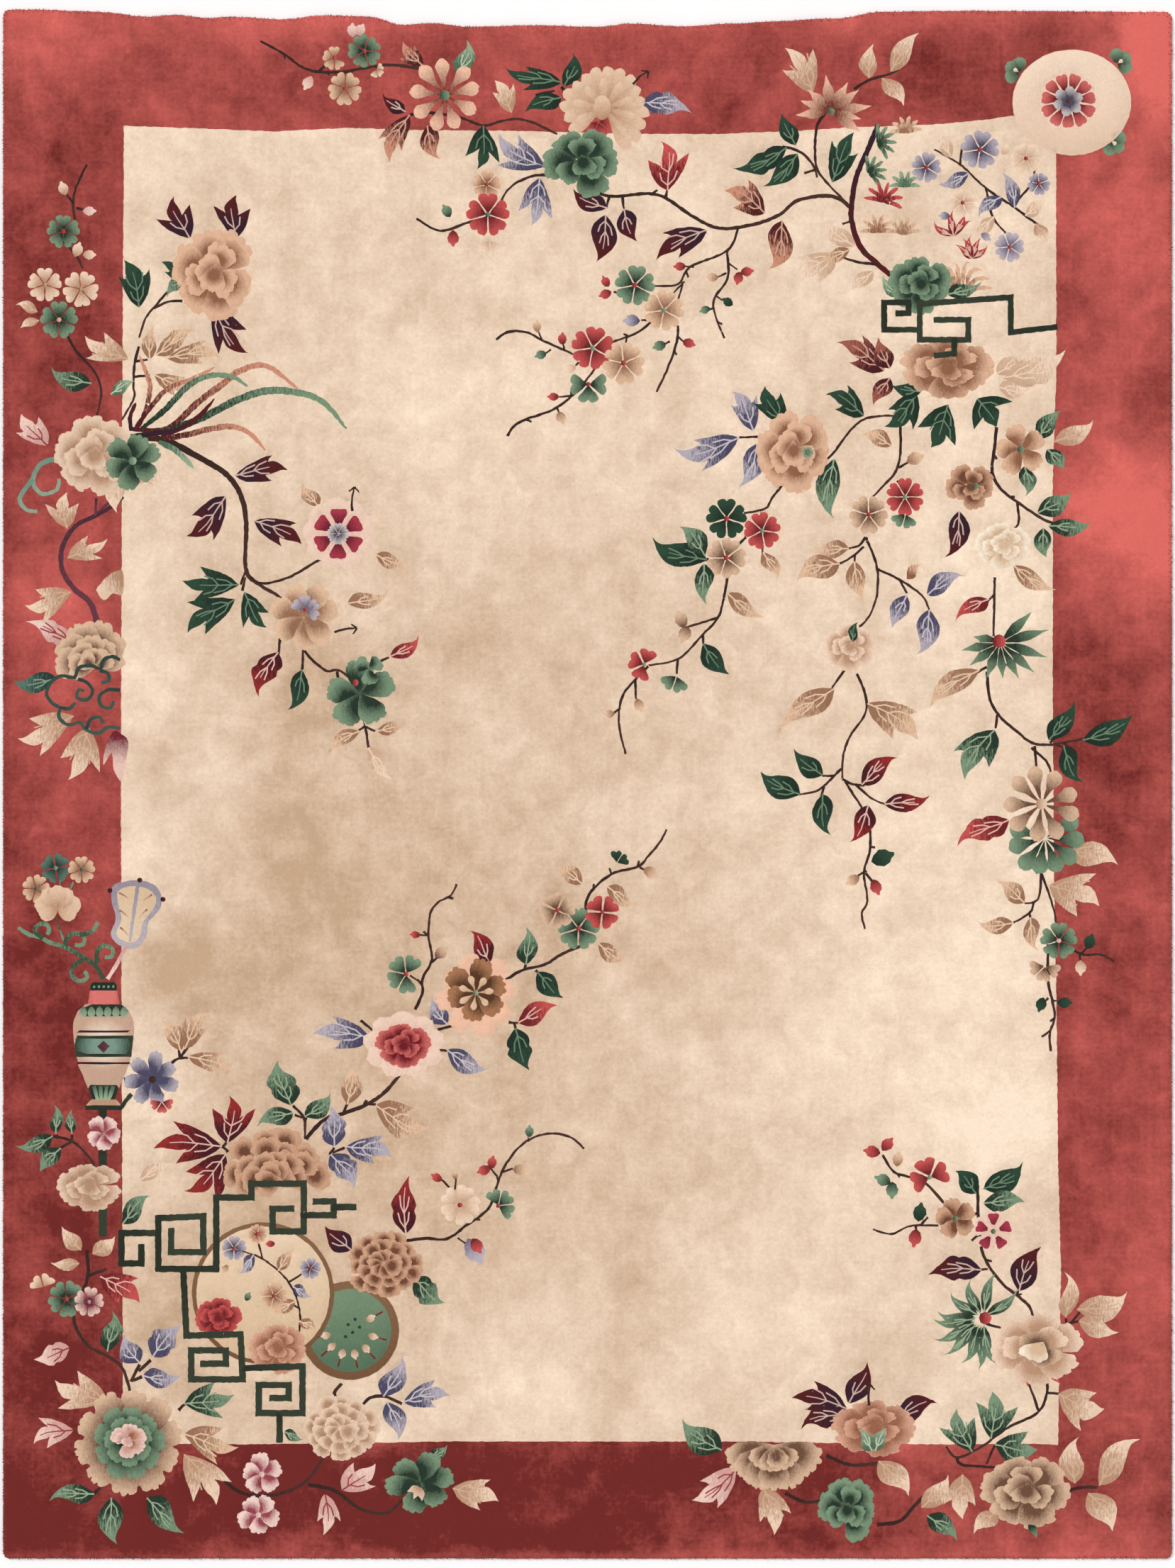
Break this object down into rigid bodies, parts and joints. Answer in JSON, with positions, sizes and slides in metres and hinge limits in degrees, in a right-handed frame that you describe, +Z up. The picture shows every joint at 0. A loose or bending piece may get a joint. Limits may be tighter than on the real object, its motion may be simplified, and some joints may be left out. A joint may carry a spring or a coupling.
{
  "type": "hand-knotted pile rug",
  "caption": "Rectangular wool pile rug lying flat, with a rolled pile edge, a wide plain band and low ripples along one end.",
  "frame": {"origin": "on the floor under the middle of the rug", "axes": "+Z up out of the pile; +Y along the length, towards the end with the ripples; +X across the width"},
  "size_m": [2.7, 3.58, 0.0228],
  "materials": {
    "wool_pile": "cut wool pile, ivory field and rose band, matt with a soft sheen"
  },
  "bodies": {
    "root": {"rug": "wool_pile"}
  },
  "joints": []
}
